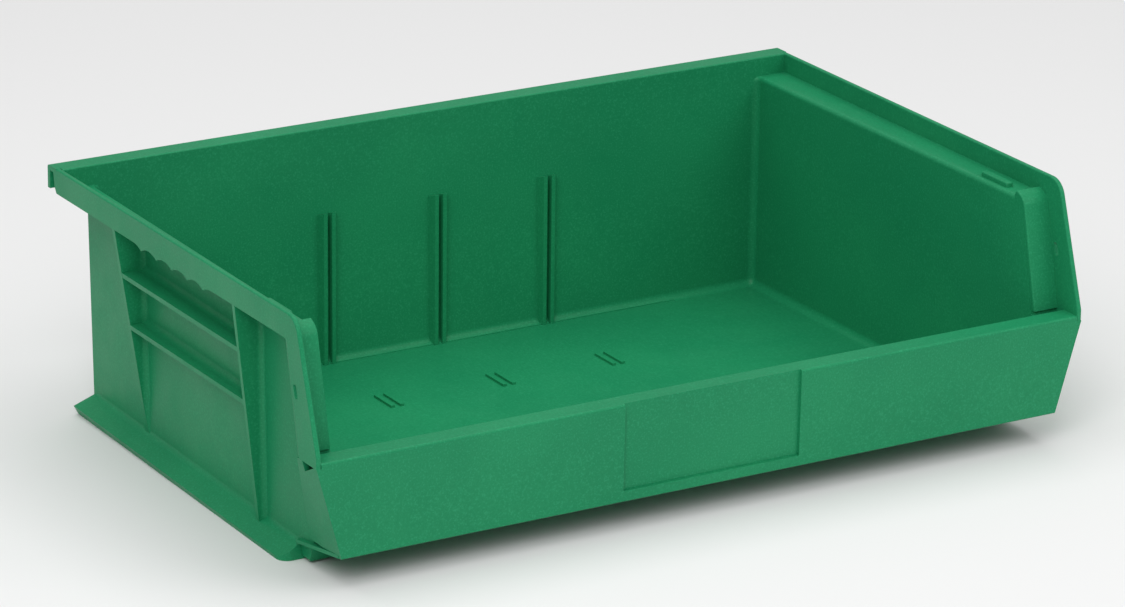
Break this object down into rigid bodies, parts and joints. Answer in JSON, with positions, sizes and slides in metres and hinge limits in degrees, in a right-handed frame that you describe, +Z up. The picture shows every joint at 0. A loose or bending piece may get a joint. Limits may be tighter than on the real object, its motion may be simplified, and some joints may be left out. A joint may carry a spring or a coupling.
{
  "type": "stackable storage bin",
  "caption": "Wide open-fronted hang-and-stack storage bin moulded in green plastic, with stacking ledges, finger grips, a hanger lip, divider slots and a label recess.",
  "frame": {"origin": "middle of the footprint of the whole bin, at the level of the surface it stands on", "axes": "+X across the width to the right as seen from the front, +Y from the open front to the hanging back, +Z up"},
  "size_m": [0.419, 0.2762, 0.127],
  "materials": {
    "polypropylene": "green polypropylene with a fine moulded satin grain"
  },
  "bodies": {
    "root": {"back_wall": "polypropylene", "base_front_foot": "polypropylene", "base_rear_foot": "polypropylene", "floor_panel": "polypropylene", "front_apron": "polypropylene", "front_shelf": "polypropylene", "hanger_lip": "polypropylene", "inner_front_wall": "polypropylene", "left_base_skirt": "polypropylene", "left_divider_slot": "polypropylene", "left_floor_locator": "polypropylene", "left_front_cheek": "polypropylene", "left_front_gusset": "polypropylene", "left_front_step": "polypropylene", "left_front_wing": "polypropylene", "left_lower_grip_rib": "polypropylene", "left_rear_gusset": "polypropylene", "left_rim_band": "polypropylene", "left_side_wall": "polypropylene", "left_stack_stop": "polypropylene", "left_stacking_ledge": "polypropylene", "left_upper_grip_rib": "polypropylene", "middle_divider_slot": "polypropylene", "middle_floor_locator": "polypropylene", "right_base_skirt": "polypropylene", "right_divider_slot": "polypropylene", "right_floor_locator": "polypropylene", "right_front_cheek": "polypropylene", "right_front_gusset": "polypropylene", "right_front_step": "polypropylene", "right_front_wing": "polypropylene", "right_lower_grip_rib": "polypropylene", "right_rear_gusset": "polypropylene", "right_rim_band": "polypropylene", "right_side_wall": "polypropylene", "right_stack_stop": "polypropylene", "right_stacking_ledge": "polypropylene", "right_upper_grip_rib": "polypropylene"}
  },
  "joints": []
}
